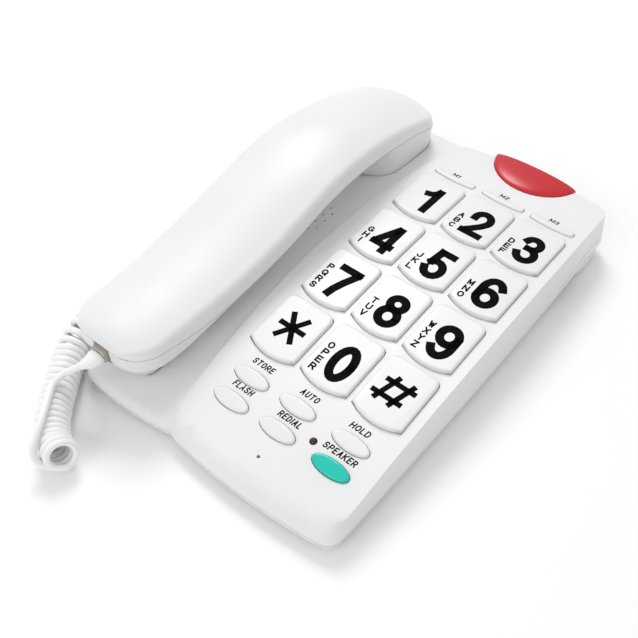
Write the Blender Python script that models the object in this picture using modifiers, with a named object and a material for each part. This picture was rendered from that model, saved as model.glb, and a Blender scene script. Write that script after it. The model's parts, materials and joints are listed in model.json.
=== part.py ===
"""Corded desk telephone with large keys, as an assembly of separate pieces.

Metres, +Z up. The user faces +Y, the handset lies on the left, and the origin is
on the desk under the middle of the telephone without its cord. The dimensions below
are millimetres, with x measured from the middle of the casing's front edge, and the
last step moves everything sideways onto the origin.
"""

import math

import bmesh
import bpy
from mathutils import Vector

MM = 0.001
GAP = 0.3
HALF_GAP = GAP / 2
WELL_GAP = 0.45
CENTRE_SHIFT = 2.4

# Crowned top face: a cylinder along X, highest at CREST_Y.
CREST_Y = 36.9
CREST_Z = 28.2
CROWN_RADIUS = 778.0

# Casing
FLOOR_Z = 2.3
PARTING_Z = 7.5
LOFT_TOP_Z = 32.0
WALL = 2.4
PANEL_THICKNESS = 2.4
DECK_STEP = 2.0
DECK_THICKNESS = 5.0
FLOOR_THICKNESS = 2.2
STAND_STEP = 5.5
STAND_RAMP = (56.0, 80.0)
FRONT_Y = -130.0
REAR_Y = 130.0

# Keys
KEY_COLUMNS = (-2.7, 25.3, 53.3)
COLUMN_SHIFTS = (-0.7, 0.1, 0.2)
KEY_ROWS = (61.6, 26.5, -8.6, -43.7)
KEY_NAMES = (("1", "2", "3"), ("4", "5", "6"), ("7", "8", "9"), ("star", "0", "hash"))
KEY_WIDTH = 25.0
KEY_HEIGHT = 29.0
KEY_SAG = 3.3
KEY_RISE = 1.9
KEY_STEM_Z = -4.0
BUTTON_ROWS = (-73.6, -86.6)
BUTTON_COLUMNS = (-0.6, 24.4, 52.3)
BUTTON_NAMES = (("store", "auto", "hold"), ("flash", "redial", "speakerphone"))
BUTTON_SIZE = (9.3, 3.75)
MEMORY_Y = 82.1
MEMORY_COLUMNS = (-1.6, 26.4, 54.0)
MEMORY_SIZE = (23.2, 3.4)
MEMORY_SAG = 1.0
TRAVEL = 1.5

# Handset. Each line holds (y, value) pairs from the mouthpiece end to the earpiece end.
HANDSET_X = -52.3
HANDSET_ENDS = (-110.2, 109.0)
HANDSET_WALL = 2.0
SEAM = 0.35
EDGE_RADIUS = 4.2
END_RADIUS = 15.0
CROWN_SLOPE = math.radians(20)
HALF_WIDTH = ((-112, 22.8), (-80, 23.4), (-50, 25.0), (-20, 25.9), (10, 25.8), (45, 25.2),
              (80, 24.5), (110, 24.0))
TOP_LINE = ((-112, 40.8), (-90, 40.6), (-75, 41.0), (-60, 42.0), (-45, 43.6), (-30, 46.1),
            (-15, 49.6), (0, 53.4), (15, 56.2), (30, 57.0), (45, 56.0), (60, 54.0), (75, 50.6),
            (90, 45.8), (110, 38.0))
PARTING_LINE = ((-112, 36.8), (-96, 35.0), (-82, 32.6), (-70, 31.8), (-58, 33.0), (-46, 34.6),
                (-33, 36.6), (-20, 39.2), (-8, 41.9), (3, 44.8), (13, 46.8), (24, 47.5),
                (36, 47.6), (47, 46.9), (60, 45.4), (75, 42.6), (90, 39.2), (110, 33.0))
LIP_LINE = ((-112, 28.4), (-96, 26.7), (-88, 26.0), (-81, 26.4), (-69, 28.6), (-56, 31.2),
            (-46, 32.9), (-33, 34.9), (-20, 37.6), (-8, 40.3), (3, 43.2), (13, 45.2), (24, 45.9),
            (36, 46.0), (47, 45.3), (60, 43.8), (75, 41.0), (90, 37.6), (110, 31.4))
UNDER_LINE = ((-112, 26.8), (-106, 21.6), (-101, 16.2), (-96, 13.6), (-88, 14.8), (-78, 16.4),
              (-70, 19.6), (-62, 24.2), (-54, 28.0), (-46, 30.4), (-33, 32.9), (-20, 35.8),
              (-8, 38.6), (3, 41.5), (13, 43.5), (24, 44.3), (35, 44.4), (43, 43.4), (48, 40.4),
              (51, 34.6), (54, 27.4), (58, 23.8), (66, 23.0), (86, 22.6), (110, 21.8))
POD_INSET = ((-112, 6.0), (-97, 8.4), (-80, 7.0), (-66, 6.4), (-56, 4.6), (-46, 3.4), (-20, 3.0),
             (30, 3.0), (44, 5.0), (50, 11.0), (54, 14.0), (57, 9.6), (60, 5.4), (64, 2.4),
             (68, 1.0), (73, 0.4), (110, 0.4))

# Cord
CORD_RADIUS = 1.6
COIL_RADIUS = 7.7
COIL_Z = 7.8
COIL_ROUTE = ((-88.6, 6.0, COIL_Z), (-89.6, -18.0, COIL_Z), (-90.0, -45.0, COIL_Z),
              (-89.6, -72.0, COIL_Z), (-87.8, -92.0, COIL_Z), (-83.0, -105.4, COIL_Z),
              (-76.4, -115.4, COIL_Z), (-68.2, -126.6, COIL_Z), (-58.8, -138.0, COIL_Z),
              (-48.4, -145.6, 8.6), (-38.6, -148.6, 11.2))
HANDSET_LEAD = ((-52.6, -112.5, 31.2), (-52.7, -115.2, 31.0), (-56.0, -118.4, 28.0),
                (-60.6, -121.4, 23.8), (-65.2, -124.4, 19.4), (-65.6, -129.6, 17.6),
                (-61.6, -135.4, 17.6), (-57.7, -140.6, 17.7), (-53.3, -146.8, 17.6),
                (-49.6, -153.6, 15.4), (-47.2, -156.9, 11.8))
BASE_LEAD = ((-79.2, 28.0, 14.0), (-82.0, 27.8, 14.0), (-85.6, 25.2, 14.0), (-88.0, 20.0, 14.0),
             (-88.6, 13.6, 14.0), (-88.6, 6.3, 14.0))

# Boot around the start of the handset's lead: (share of the lead, half width, half height)
BOOT_STATIONS = ((0.0, 4.2, 2.9), (0.03, 4.3, 2.8), (0.07, 3.5, 2.5), (0.11, 2.5, 2.1),
                 (0.15, 1.75, 1.75))

SCREW_SPOTS = {"front_left": (-60.0, -98.0), "front_right": (60.0, -99.0),
               "rear_left": (-60.0, 46.0), "rear_right": (61.0, 96.0)}
FOOT_SPOTS = {"front_left": (-58.0, -84.0), "front_right": (58.0, -84.0)}
REAR_FOOT_SPOTS = {"rear_left": (-52.0, 96.0), "rear_right": (52.0, 96.0)}


# Scene and materials

def clear_scene():
    for obj in list(bpy.data.objects):
        bpy.data.objects.remove(obj, do_unlink=True)


def new_collection(name):
    collection = bpy.data.collections.new(name)
    bpy.context.scene.collection.children.link(collection)
    return collection


def material(name, colour, roughness=0.4, metallic=0.0):
    made = bpy.data.materials.new(name)
    made.use_nodes = True
    shader = made.node_tree.nodes["Principled BSDF"]
    shader.inputs["Base Color"].default_value = (*colour, 1.0)
    shader.inputs["Roughness"].default_value = roughness
    shader.inputs["Metallic"].default_value = metallic
    return made


clear_scene()
PARTS = new_collection("corded_telephone")
CUTTERS = new_collection("cutters")
CUTTERS.hide_render = True

WHITE = material("white_plastic", (0.86, 0.87, 0.88), 0.38)
TEAL = material("teal_plastic", (0.02, 0.55, 0.47), 0.35)
RED = material("red_lens", (0.65, 0.02, 0.02), 0.2)
RUBBER = material("grey_rubber", (0.2, 0.2, 0.2), 0.8)
BLACK = material("black_plastic", (0.03, 0.03, 0.03), 0.5)
BOARD = material("green_board", (0.03, 0.25, 0.08), 0.5)
STEEL = material("zinc_steel", (0.6, 0.6, 0.6), 0.35, 1.0)
CLEAR = material("clear_plastic", (0.8, 0.75, 0.6), 0.15)
CORD = material("cord_jacket", (0.87, 0.86, 0.83), 0.45)


# Mesh helpers. A shape without a material is a cutter.

def add_object(name, mesh, made_of=None, location=(0, 0, 0)):
    obj = bpy.data.objects.new(name, mesh)
    obj.location = Vector(location) * MM
    if made_of is None:
        CUTTERS.objects.link(obj)
        obj.hide_render = True
        obj.display_type = "WIRE"
    else:
        PARTS.objects.link(obj)
        mesh.materials.append(made_of)
    return obj


def from_bmesh(name, bm, made_of=None, location=(0, 0, 0)):
    bmesh.ops.recalc_face_normals(bm, faces=bm.faces)
    mesh = bpy.data.meshes.new(name)
    bm.to_mesh(mesh)
    bm.free()
    mesh.shade_smooth()
    mesh.set_sharp_from_angle(angle=math.radians(35))
    return add_object(name, mesh, made_of, location)


def loft(name, rings, made_of=None, location=(0, 0, 0)):
    """A surface through rings of the same number of points, closed by a flat face at each end."""
    bm = bmesh.new()
    rows = [[bm.verts.new(Vector(point) * MM) for point in ring] for ring in rings]
    count = len(rows[0])
    for low, high in zip(rows, rows[1:]):
        for i in range(count):
            j = (i + 1) % count
            bm.faces.new((low[i], low[j], high[j], high[i]))
    bm.faces.new(rows[0])
    bm.faces.new(rows[-1])
    return from_bmesh(name, bm, made_of, location)


def box(name, size, centre, made_of=None):
    bm = bmesh.new()
    bmesh.ops.create_cube(bm, size=1.0)
    bmesh.ops.scale(bm, vec=Vector(size) * MM, verts=bm.verts)
    return from_bmesh(name, bm, made_of, centre)


def cylinder(name, radius, low, high, centre, made_of=None, segments=12):
    bm = bmesh.new()
    bmesh.ops.create_cone(bm, cap_ends=True, segments=segments, radius1=radius * MM,
                          radius2=radius * MM, depth=(high - low) * MM)
    return from_bmesh(name, bm, made_of, (*centre, (low + high) / 2))


def turned(name, profile, centre, made_of, steps=16):
    """A round piece: (radius, height) points from the top centre down the outer side."""
    mesh = bpy.data.meshes.new(name)
    points = [(r * MM, 0, z * MM) for r, z in profile]
    mesh.from_pydata(points, [(i, i + 1) for i in range(len(points) - 1)], [])
    obj = add_object(name, mesh, made_of, centre)
    screw = obj.modifiers.new("turn", "SCREW")
    screw.axis = "Z"
    screw.steps = steps
    screw.render_steps = steps
    screw.use_merge_vertices = True
    screw.merge_threshold = 0.00001
    return obj


def slab(name, outline, low, high, made_of=None, location=(0, 0, 0)):
    """A flat outline made thick between two heights."""
    curve = bpy.data.curves.new(name, "CURVE")
    curve.dimensions = "2D"
    curve.fill_mode = "BOTH"
    curve.extrude = (high - low) / 2 * MM
    spline = curve.splines.new("POLY")
    spline.points.add(len(outline) - 1)
    for point, (x, y) in zip(spline.points, outline):
        point.co = (x * MM, y * MM, (low + high) / 2 * MM, 1)
    spline.use_cyclic_u = True
    return curve_to_mesh(name, curve, made_of, location, (low + high) / 2)


def curve_to_mesh(name, curve, made_of, location, lift=0.0):
    guide = bpy.data.objects.new(name + "_curve", curve)
    CUTTERS.objects.link(guide)
    graph = bpy.context.evaluated_depsgraph_get()
    mesh = bpy.data.meshes.new_from_object(guide.evaluated_get(graph))
    bm = bmesh.new()
    bm.from_mesh(mesh)
    bmesh.ops.remove_doubles(bm, verts=bm.verts, dist=0.00001)
    if curve.dimensions == "2D":
        bmesh.ops.translate(bm, vec=(0, 0, lift * MM), verts=bm.verts)
    bpy.data.objects.remove(guide)
    return from_bmesh(name, bm, made_of, location)


def tube(name, route, radius, made_of, points):
    """A round cord along a smooth curve through the route's points."""
    curve = bpy.data.curves.new(name, "CURVE")
    curve.dimensions = "3D"
    curve.bevel_depth = radius * MM
    curve.bevel_resolution = 2
    curve.use_fill_caps = True
    spline = curve.splines.new("POLY")
    spline.points.add(points - 1)
    for i, point in enumerate(spline.points):
        point.co = (*(along(route, i / (points - 1)) * MM), 1)
    return curve_to_mesh(name, curve, made_of, (0, 0, 0))


def combine(target, other, operation="DIFFERENCE"):
    modifier = target.modifiers.new(operation.lower(), "BOOLEAN")
    modifier.operation = operation
    modifier.solver = "EXACT"
    modifier.object = other
    return target


# Curves and outlines

def along(route, share):
    """Point of a smooth curve through the route, at a share of the way by chord length."""
    points = [Vector(p) for p in route]
    lengths = [0.0]
    for a, b in zip(points, points[1:]):
        lengths.append(lengths[-1] + (b - a).length)
    at = share * lengths[-1]
    k = max(i for i in range(len(points) - 1) if lengths[i] <= at + 1e-9)
    span = lengths[k + 1] - lengths[k]
    t = (at - lengths[k]) / span

    def tangent(i):
        low, high = max(i - 1, 0), min(i + 1, len(points) - 1)
        return (points[high] - points[low]) / (lengths[high] - lengths[low]) * span

    return (points[k] * (2 * t**3 - 3 * t**2 + 1) + tangent(k) * (t**3 - 2 * t**2 + t)
            + points[k + 1] * (3 * t**2 - 2 * t**3) + tangent(k + 1) * (t**3 - t**2))


def height_on(line, y):
    """Height of a smooth line through (y, z) points."""
    y = min(max(y, line[0][0]), line[-1][0])
    k = max(i for i in range(len(line) - 1) if line[i][0] <= y)
    (y0, z0), (y1, z1) = line[k], line[k + 1]
    span = y1 - y0
    t = (y - y0) / span

    def slope(i):
        low, high = max(i - 1, 0), min(i + 1, len(line) - 1)
        return (line[high][1] - line[low][1]) / (line[high][0] - line[low][0]) * span

    return (z0 * (2 * t**3 - 3 * t**2 + 1) + slope(k) * (t**3 - 2 * t**2 + t)
            + z1 * (3 * t**2 - 2 * t**3) + slope(k + 1) * (t**3 - t**2))


def crown_z(y, drop=0.0):
    return CREST_Z - drop - CROWN_RADIUS + math.sqrt(CROWN_RADIUS**2 - (y - CREST_Y) ** 2)


def crown_tilt(y):
    return -math.asin((y - CREST_Y) / CROWN_RADIUS)


def ramp(y):
    """0 in front of the stand, 1 over it, with a smooth rise between."""
    t = min(max((y - STAND_RAMP[0]) / (STAND_RAMP[1] - STAND_RAMP[0]), 0.0), 1.0)
    return t * t * (3 - 2 * t)


def barrel(corners, bulges, radius, edge_steps=8, corner_steps=5):
    """Outline of a four-cornered plate with bowed edges and rounded corners, anticlockwise."""
    edges = []
    for i in range(4):
        a, b = Vector(corners[i]), Vector(corners[(i + 1) % 4])
        run = b - a
        outward = Vector((run.y, -run.x)).normalized()
        start = radius / run.length
        shares = [start + (1 - 2 * start) * k / edge_steps for k in range(edge_steps + 1)]
        edges.append([a + run * t + outward * bulges[i] * 4 * t * (1 - t) for t in shares])
    outline = []
    for i in range(4):
        outline += edges[i]
        p, q = edges[i][-1], edges[(i + 1) % 4][0]
        corner = Vector(corners[(i + 1) % 4])
        for k in range(1, corner_steps):
            t = k / corner_steps
            outline.append(p * (1 - t) ** 2 + corner * 2 * t * (1 - t) + q * t**2)
    return [(p.x, p.y) for p in outline]


def inset(outline, distance):
    """The outline moved inward by a distance, point by point."""
    moved = []
    for i, point in enumerate(outline):
        before, after = Vector(outline[i - 1]), Vector(outline[(i + 1) % len(outline)])
        run = (after - before).normalized()
        moved.append((point[0] - run.y * distance, point[1] + run.x * distance))
    return moved


def ellipse(half_x, half_y, count=20):
    turns = [2 * math.pi * k / count for k in range(count)]
    return [(half_x * math.cos(a), half_y * math.sin(a)) for a in turns]


def key_outline(grow=0.0):
    """A key's face: straight top edge with round corners, bottom edge bowed towards the user."""
    half_w, half_h, radius = KEY_WIDTH / 2 + grow, KEY_HEIGHT / 2 + grow, 3.0
    outline = []
    for k in range(7):
        t = k / 6
        outline.append((half_w * (2 * t - 1), -half_h - KEY_SAG * 4 * t * (1 - t)))
    for start, sx in ((0, 1), (90, -1)):
        for k in range(4):
            angle = math.radians(start + 30 * k)
            outline.append((sx * (half_w - radius) + radius * math.cos(angle),
                            half_h - radius + radius * math.sin(angle)))
    return outline


def memory_outline(grow=0.0):
    """A bar with round corners, bowed towards the user."""
    half_w, half_h = MEMORY_SIZE[0] / 2 + grow, MEMORY_SIZE[1] / 2 + grow
    radius = min(1.2, 0.8 * half_h)
    left = [(-0.3 * half_w, half_h), (-0.6 * half_w, half_h)]
    for centre_y, start in ((half_h - radius, 90), (radius - half_h, 180)):
        for k in range(4):
            angle = math.radians(start + 30 * k)
            left.append((radius - half_w + radius * math.cos(angle),
                         centre_y + radius * math.sin(angle)))
    left += [(-0.6 * half_w, -half_h), (-0.3 * half_w, -half_h)]
    right = [(-x, y) for x, y in reversed(left)]
    outline = left + [(0.0, -half_h)] + right + [(0.0, half_h)]
    return [(x, y - MEMORY_SAG * (0.5 - (x / half_w) ** 2)) for x, y in outline]


# Casing blocks

PANEL_LOW = barrel(((-17.0, -111.6), (71.8, -109.4), (72.2, 112.0), (-15.6, 109.6)),
                   (3.4, 1.4, 4.0, 8.9), 6.0)
PANEL_HIGH = barrel(((-17.0, -94.0), (67.4, -91.6), (69.4, 111.4), (-15.6, 108.6)),
                    (3.4, 2.4, 4.0, 8.9), 6.0)
CRADLE_LOW = barrel(((-72.6, -112.4), (-2.0, -107.4), (-2.0, 109.6), (-72.6, 106.6)),
                    (4.4, 0.0, 2.0, 2.6), 12.0)
CRADLE_HIGH = barrel(((-70.2, -100.6), (-2.0, -95.4), (-2.0, 109.0), (-70.0, 106.0)),
                     (4.4, 0.0, 2.0, 2.8), 12.0)


def at_height(outline, z):
    return [(x, y, z) for x, y in outline]


def block(name, low, high, shrink):
    """A drafted block between two outlines, with a rounded lower edge."""
    rings = [at_height(inset(low, shrink + 2.2), FLOOR_Z), at_height(inset(low, shrink + 0.7), 3.5),
             at_height(inset(low, shrink), PARTING_Z), at_height(inset(high, shrink), LOFT_TOP_Z)]
    return loft(name, rings)


def side_profile(name, top, bottom):
    """A full-width slice between two side-view lines, each a function of y."""
    steps = 26
    ys = [FRONT_Y + (REAR_Y - FRONT_Y) * k / steps for k in range(steps + 1)]
    outline = [(y, bottom(y)) for y in ys] + [(y, top(y)) for y in reversed(ys)]
    return loft(name, [[(x, y, z) for y, z in outline] for x in (-90.0, 90.0)])


def base_block(name, shrink, panel_drop, cradle_drop):
    """The whole base form: key panel and the lower handset cradle beside it."""
    panel = block(name, PANEL_LOW, PANEL_HIGH, shrink)
    cradle = block(name + "_cradle", CRADLE_LOW, CRADLE_HIGH, shrink)
    panel_slice = side_profile(name + "_panel_slice", lambda y: crown_z(y, panel_drop), lambda y: -9.0)
    cradle_slice = side_profile(name + "_cradle_slice", lambda y: crown_z(y, cradle_drop),
                                lambda y: -9.0)
    combine(panel, panel_slice, "INTERSECT")
    combine(cradle, cradle_slice, "INTERSECT")
    combine(panel, cradle, "UNION")
    return panel


def parting_z(y):
    return PARTING_Z + STAND_STEP * ramp(y)


def floor_z(y):
    return FLOOR_Z + STAND_STEP * ramp(y)


def keep_as_part(obj, made_of):
    CUTTERS.objects.unlink(obj)
    PARTS.objects.link(obj)
    obj.hide_render = False
    obj.display_type = "TEXTURED"
    obj.data.materials.append(made_of)
    return obj


def seat(obj, x, y):
    """Stands a piece on the crowned face, square to it."""
    obj.location = Vector((x, y, crown_z(y))) * MM
    obj.rotation_euler = (crown_tilt(y), 0, 0)
    return obj


def key_spots():
    for row, y in zip(KEY_NAMES, KEY_ROWS):
        for label, x, shift in zip(row, KEY_COLUMNS, COLUMN_SHIFTS):
            yield "key_" + label, x, y + shift


def button_spots():
    for row, y in zip(BUTTON_NAMES, BUTTON_ROWS):
        for label, x, shift in zip(row, BUTTON_COLUMNS, COLUMN_SHIFTS):
            yield "button_" + label, x, y + shift


def memory_spots():
    for number, (x, shift) in enumerate(zip(MEMORY_COLUMNS, COLUMN_SHIFTS), 1):
        yield f"memory_key_{number}", x, MEMORY_Y + shift


def grille_spots():
    """Staggered columns of holes over the loudspeaker."""
    for column, count in enumerate(GRILLE_COLUMNS):
        for row in range(count):
            yield (SPEAKER_SPOT[0] + GRILLE_PITCH[0] * (column - (len(GRILLE_COLUMNS) - 1) / 2),
                   SPEAKER_SPOT[1] + GRILLE_PITCH[1] * (row - (count - 1) / 2))


# Handset form

def handset_stations():
    front, back = HANDSET_ENDS
    steps = (0.0, 0.4, 1.2, 2.4, 4.2, 6.6, 9.6, 13.0, 18.0, 24.0, 31.0)
    middle = [-72.0, -64.0, -52.0, -38.0, -22.0, -7.0, 7.0, 20.0, 32.0, 40.0, 46.0, 51.0, 56.0,
              61.0, 67.0]
    return [front + d for d in steps] + middle + [back - d for d in reversed(steps)]


def rounding(depth, radius):
    """How far a quarter-round edge still falls short, at a depth in from its end."""
    return radius - math.sqrt(radius**2 - (radius - min(depth, radius)) ** 2)


def half_section(y, grow, upper):
    """Upper or lower half of the handset's cross-section, from its right side to its left."""
    depth = min(y - HANDSET_ENDS[0], HANDSET_ENDS[1] - y) + 0.3
    half_width = height_on(HALF_WIDTH, y) - rounding(depth, END_RADIUS) + grow
    parting = height_on(PARTING_LINE, y)
    drop = rounding(depth, EDGE_RADIUS)
    right = [(half_width, parting)]
    if upper:
        edge = max(height_on(TOP_LINE, y) + grow - drop, parting + 0.8)
        radius = min(EDGE_RADIUS, 0.8 * (edge - parting))
        for k in range(5):
            angle = (math.pi / 2 - CROWN_SLOPE) * k / 4
            right.append((half_width - 0.4 - radius * (1 - math.cos(angle)),
                          edge - radius * (1 - math.sin(angle))))
        rise = math.tan(CROWN_SLOPE) / 2
    else:
        lip = min(height_on(LIP_LINE, y) - grow + 0.7 * drop, parting - 0.8 - 0.6 * grow)
        under = height_on(UNDER_LINE, y) - grow + drop
        under = min(under, lip - 0.8)
        step = height_on(POD_INSET, y)
        soft = min(1.2, 0.75 * step)
        foot = half_width - step - 0.6
        right += [(half_width - 0.15 * soft, lip + 0.8 * soft + 0.1), (half_width - soft, lip),
                  (half_width - 0.75 * step - 0.1, lip - 0.2),
                  (foot, under + 0.4 * min(3.6, lip - under)), (foot - 1.6, under)]
        rise = -0.02
    end_x, end_z = right[-1]
    for share in (0.66, 0.33):
        right.append((end_x * share, end_z + rise * end_x * (1 - share**2)))
    section = right + [(0.0, end_z + rise * end_x)] + [(-x, z) for x, z in reversed(right)]
    return [(HANDSET_X + x, y, z) for x, z in section]


def end_shift(y, grow):
    """The y of a section once both ends have moved out by the growth, or in if it is negative."""
    return y + grow * math.copysign(max(0.0, abs(y) - 80.0) / 30.0, y)


def handset_form(name, grow):
    """The whole handset as one closed solid, for cutting the cradle's wells."""
    rings = []
    for y in handset_stations():
        ring = half_section(y, grow, True) + half_section(y, grow, False)[-2:0:-1]
        rings.append([(x, end_shift(y, grow), z) for x, _, z in ring])
    return loft(name, rings)


def handset_half(name, upper, grow=0.0, reach=0.0, made_of=None):
    """One half of the handset as a closed solid, from its seam outwards."""
    way = 1 if upper else -1
    rings = []
    for y in handset_stations():
        section = half_section(y, grow, upper)
        for end in (0, -1):
            x, _, z = section[end]
            section[end] = (x, y, z + way * (SEAM / 2 - reach))
        rings.append([(x, end_shift(y, grow), z) for x, _, z in section])
    return loft(name, rings, made_of)


def handset_shell(name, upper):
    shell = handset_half(name, upper, made_of=WHITE)
    return combine(shell, handset_half(name + "_hollow", upper, -HANDSET_WALL, 1.0))


# Base pieces

def base_housing():
    housing = base_block("base_housing", 0.0, 0.0, DECK_STEP)
    hollow = base_block("housing_hollow", WALL, PANEL_THICKNESS, DECK_STEP + DECK_THICKNESS)
    combine(housing, hollow)
    below = side_profile("below_parting", lambda y: parting_z(y) + HALF_GAP, lambda y: -9.0)
    combine(housing, below)
    for spot, (x, y) in SCREW_SPOTS.items():
        under_top = 3.0 if x < 0 else 1.2
        boss = cylinder("boss_" + spot, 4.0, parting_z(y) + GAP, crown_z(y) - under_top, (x, y))
        combine(housing, boss, "UNION")
        combine(housing, cylinder("pilot_" + spot, 1.2, 0.0, floor_z(y) + 10.9, (x, y), segments=8))
    for name, x, y in key_spots():
        combine(housing, seat(slab(name + "_hole", key_outline(GAP), -5.0, 5.0), x, y))
    for name, x, y in button_spots():
        outline = ellipse(BUTTON_SIZE[0] + GAP, BUTTON_SIZE[1] + GAP)
        combine(housing, seat(slab(name + "_hole", outline, -5.0, 5.0), x, y))
    for name, x, y in memory_spots():
        combine(housing, seat(slab(name + "_hole", memory_outline(GAP), -5.0, 5.0), x, y))
    combine(housing, seat(slab("led_hole", ellipse(1.8, 1.8, 10), -5.0, 5.0), *LED_SPOT))
    combine(housing, seat(slab("mic_hole", ellipse(0.8, 0.8, 8), -5.0, 5.0), *BASE_MIC_SPOT))
    for spot in grille_spots():
        combine(housing, cylinder("grille_hole", GRILLE_HOLE, 20.3, 30.0, spot, segments=6))
    combine(housing, handset_form("cradle_wells", WELL_GAP))
    combine(housing, cylinder("hook_hole", HOOK_RADIUS + GAP, 12.0, 30.0, HOOK_SPOT, segments=16))
    combine(housing, lens_form("lens_seat", LENS_RADIUS + GAP, LENS_RISE, LENS_DEPTH + GAP, 130.0))
    combine(housing, box("line_jack_hole", (12.0, 14.0, 9.2), (LINE_JACK[0], 112.0, LINE_JACK[2])))
    combine(housing, box("cord_jack_hole", (12.0, 9.4, 8.2), (-75.0, CORD_JACK[1], CORD_JACK[2])))
    return keep_as_part(housing, WHITE)


def base_bottom_cover():
    cover = base_block("base_bottom_cover", 0.0, 0.0, DECK_STEP)
    combine(cover, side_profile("cover_slice", lambda y: parting_z(y) - HALF_GAP, floor_z), "INTERSECT")
    hollow = base_block("cover_hollow", WALL, PANEL_THICKNESS, DECK_STEP)
    hollow_slice = side_profile("hollow_slice", lambda y: 40.0, lambda y: floor_z(y) + FLOOR_THICKNESS)
    combine(hollow, hollow_slice, "INTERSECT")
    combine(cover, hollow)
    for spot, (x, y) in SCREW_SPOTS.items():
        bottom = floor_z(y)
        combine(cover, cylinder("clearance_" + spot, 1.8, 0.0, bottom + 6.0, (x, y), segments=10))
        combine(cover, cylinder("counterbore_" + spot, 3.4, 0.0, bottom + 1.0, (x, y)))
    return keep_as_part(cover, WHITE)


def desk_stand():
    """Hollow wedge that clips under the rear of the base and sets its height on the desk."""
    outline = barrel(((-70.6, 81.6), (72.8, 81.6), (72.4, 108.4), (-70.0, 105.4)),
                     (0.0, 0.0, 2.4, 0.0), 8.0, edge_steps=4, corner_steps=4)
    top = STAND_STEP + FLOOR_Z - GAP
    stand = loft("desk_stand", [at_height(inset(outline, 1.4), 1.2), at_height(inset(outline, 0.4), 1.8),
                                at_height(outline, 2.8), at_height(outline, top)], WHITE)
    hollow = loft("stand_hollow", [at_height(inset(outline, 3.4), 3.2),
                                   at_height(inset(outline, 2.0), top + 2.0)])
    return combine(stand, hollow)


def feet_and_screws():
    for spot, centre in FOOT_SPOTS.items():
        profile = ((0, 2.0), (6.0, 2.0), (6.0, 0.6), (5.4, 0.0), (0, 0.0))
        turned("foot_" + spot, profile, (*centre, 0), RUBBER, 14)
    for spot, centre in REAR_FOOT_SPOTS.items():
        profile = ((0, 0.9), (6.0, 0.9), (6.0, 0.4), (5.6, 0.0), (0, 0.0))
        turned("foot_" + spot, profile, (*centre, 0), RUBBER, 14)
    for spot, (x, y) in SCREW_SPOTS.items():
        profile = ((0, 9.9), (0.9, 9.0), (0.9, 0.9), (2.9, 0.9), (2.9, -0.3), (2.4, -0.7),
                   (1.0, -0.7), (1.0, 0.1), (0, 0.1))
        turned("base_screw_" + spot, profile, (x, y, floor_z(y)), STEEL, 10)


def stepped_cap(name, outline_at, rise, made_of, flange, stem_z=KEY_STEM_Z):
    """A cap with a flange that keeps it under the panel, and a softly rounded top edge."""
    steps = ((flange, stem_z), (flange, stem_z + 1.0), (0.0, stem_z + 1.0), (0.0, rise - 0.7),
             (-0.3, rise - 0.2), (-0.9, rise))
    return loft(name, [at_height(outline_at(grow), z) for grow, z in steps], made_of)


def keys_and_buttons():
    for name, x, y in key_spots():
        seat(stepped_cap(name, key_outline, KEY_RISE, WHITE, 0.7), x, y)
    for name, x, y in button_spots():
        colour = TEAL if name.endswith("speakerphone") else WHITE
        seat(stepped_cap(name, lambda g: ellipse(BUTTON_SIZE[0] + g, BUTTON_SIZE[1] + g),
                         1.3, colour, 0.8), x, y)
    for name, x, y in memory_spots():
        seat(stepped_cap(name, memory_outline, 1.0, WHITE, 0.8), x, y)


LED_SPOT = (39.4, -81.4)
BASE_MIC_SPOT = (25.6, -99.6)
LENS_CENTRE = (26.6, 119.4)
LENS_RADIUS = 23.8
LENS_RISE = 3.2
LENS_DEPTH = 7.0
LENS_BACK_Y = 115.0
HOOK_SPOT = (HANDSET_X, 84.0)
HOOK_RADIUS = 5.0
HOOK_RISE = 4.0
LINE_JACK = (-6.0, 99.4, 17.2)
CORD_JACK = (-64.9, 28.0, 14.0)
HANDSET_JACK = (-52.6, -101.2, 31.2)
JACK_NOTCH = ((9.8, 8.0, 9.4), (-51.9, -110.9, 32.0))
SPEAKER_SPOT = (-40.6, 16.2)
GRILLE_COLUMNS = (3, 4, 5, 4, 3)
GRILLE_PITCH = (3.2, 6.0)
GRILLE_HOLE = 0.6


def lens_form(name, radius, rise, depth, back_y, made_of=None):
    """A dome on a round wall, square to the crowned face and cut off at the rear."""
    steps = [(radius, -depth), (radius, 0.0)]
    for k in range(1, 7):
        angle = math.radians(14 * k)
        steps.append((radius * math.cos(angle), rise * math.sin(angle)))
    dome = loft(name, [at_height(ellipse(r, r, 40), z) for r, z in steps], made_of)
    seat(dome, *LENS_CENTRE)
    keep = box(name + "_keep", (70.0, 60.0, 40.0), (LENS_CENTRE[0], back_y - 30.0, 22.0))
    return combine(dome, keep, "INTERSECT")


def lens_and_lamps():
    lens = lens_form("ring_lens", LENS_RADIUS, LENS_RISE, LENS_DEPTH, LENS_BACK_Y, RED)
    hollow = lens_form("lens_hollow", LENS_RADIUS - 1.6, LENS_RISE - 1.5, LENS_DEPTH + 1.0,
                       LENS_BACK_Y - 1.6)
    combine(lens, hollow)
    x, y, z = LENS_CENTRE[0], 106.0, 14.0
    turned("ring_lamp", ((0, 5.4), (1.4, 5.0), (2.4, 3.6), (2.4, 0.0), (0, 0.0)),
           (x, y, z), RED, 12)
    led = turned("speaker_led", ((0, 0.5), (0.9, 0.3), (1.4, -0.3), (1.4, -6.0), (0, -6.0)),
                 (0, 0, 0), RED, 12)
    seat(led, *LED_SPOT)


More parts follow.
